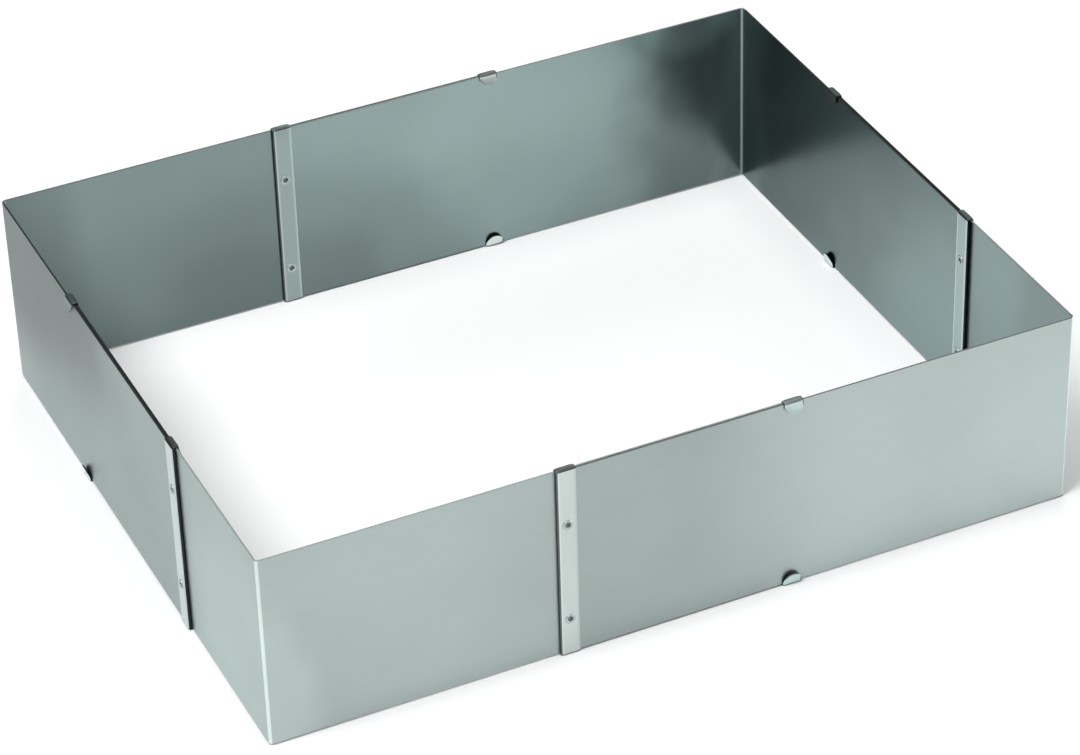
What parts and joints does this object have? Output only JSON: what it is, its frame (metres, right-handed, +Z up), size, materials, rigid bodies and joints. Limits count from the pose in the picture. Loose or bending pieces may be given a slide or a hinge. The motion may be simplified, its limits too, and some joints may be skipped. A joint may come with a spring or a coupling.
{
  "type": "adjustable cake frame",
  "caption": "Open rectangular cake frame of bent steel corner sheets that slide in one another in clips, so its length and width can be set.",
  "frame": {"origin": "middle of the underside, on the plane that the folded clips stand on", "axes": "+X along the long sides, to the right in the picture; +Y to the back; +Z up out of the open top"},
  "size_m": [0.3052, 0.2452, 0.0763],
  "materials": {
    "sheet_steel": "satin",
    "clip_steel": "satin",
    "rivet_steel": "satin"
  },
  "bodies": {
    "front_left": {"corner_front_left": "sheet_steel", "clip_front_left_long": "clip_steel", "clip_front_left_short": "clip_steel", "rivet_front_left_long_lower": "rivet_steel", "rivet_front_left_long_upper": "rivet_steel", "rivet_front_left_short_lower": "rivet_steel", "rivet_front_left_short_upper": "rivet_steel"},
    "front_right": {"corner_front_right": "sheet_steel", "clip_front_right_long": "clip_steel", "clip_front_right_short": "clip_steel", "rivet_front_right_long_lower": "rivet_steel", "rivet_front_right_long_upper": "rivet_steel", "rivet_front_right_short_lower": "rivet_steel", "rivet_front_right_short_upper": "rivet_steel"},
    "back_right": {"corner_back_right": "sheet_steel", "clip_back_right_long": "clip_steel", "clip_back_right_short": "clip_steel", "rivet_back_right_long_lower": "rivet_steel", "rivet_back_right_long_upper": "rivet_steel", "rivet_back_right_short_lower": "rivet_steel", "rivet_back_right_short_upper": "rivet_steel"},
    "back_left": {"corner_back_left": "sheet_steel", "clip_back_left_long": "clip_steel", "clip_back_left_short": "clip_steel", "rivet_back_left_long_lower": "rivet_steel", "rivet_back_left_long_upper": "rivet_steel", "rivet_back_left_short_lower": "rivet_steel", "rivet_back_left_short_upper": "rivet_steel"}
  },
  "joints": [
    {"name": "front_length_slide", "type": "slide", "parent": "front_left", "child": "front_right", "axis": [1, 0, 0], "range_m": [-0.1, 0.073]},
    {"name": "left_width_slide", "type": "slide", "parent": "front_left", "child": "back_left", "axis": [0, 1, 0], "range_m": [-0.064, 0.085]},
    {"name": "back_length_slide", "type": "slide", "parent": "back_left", "child": "back_right", "axis": [1, 0, 0], "range_m": [-0.1, 0.073]}
  ],
  "couplings": [
    {"joint": "back_length_slide", "follows": "front_length_slide", "ratio": 1}
  ]
}
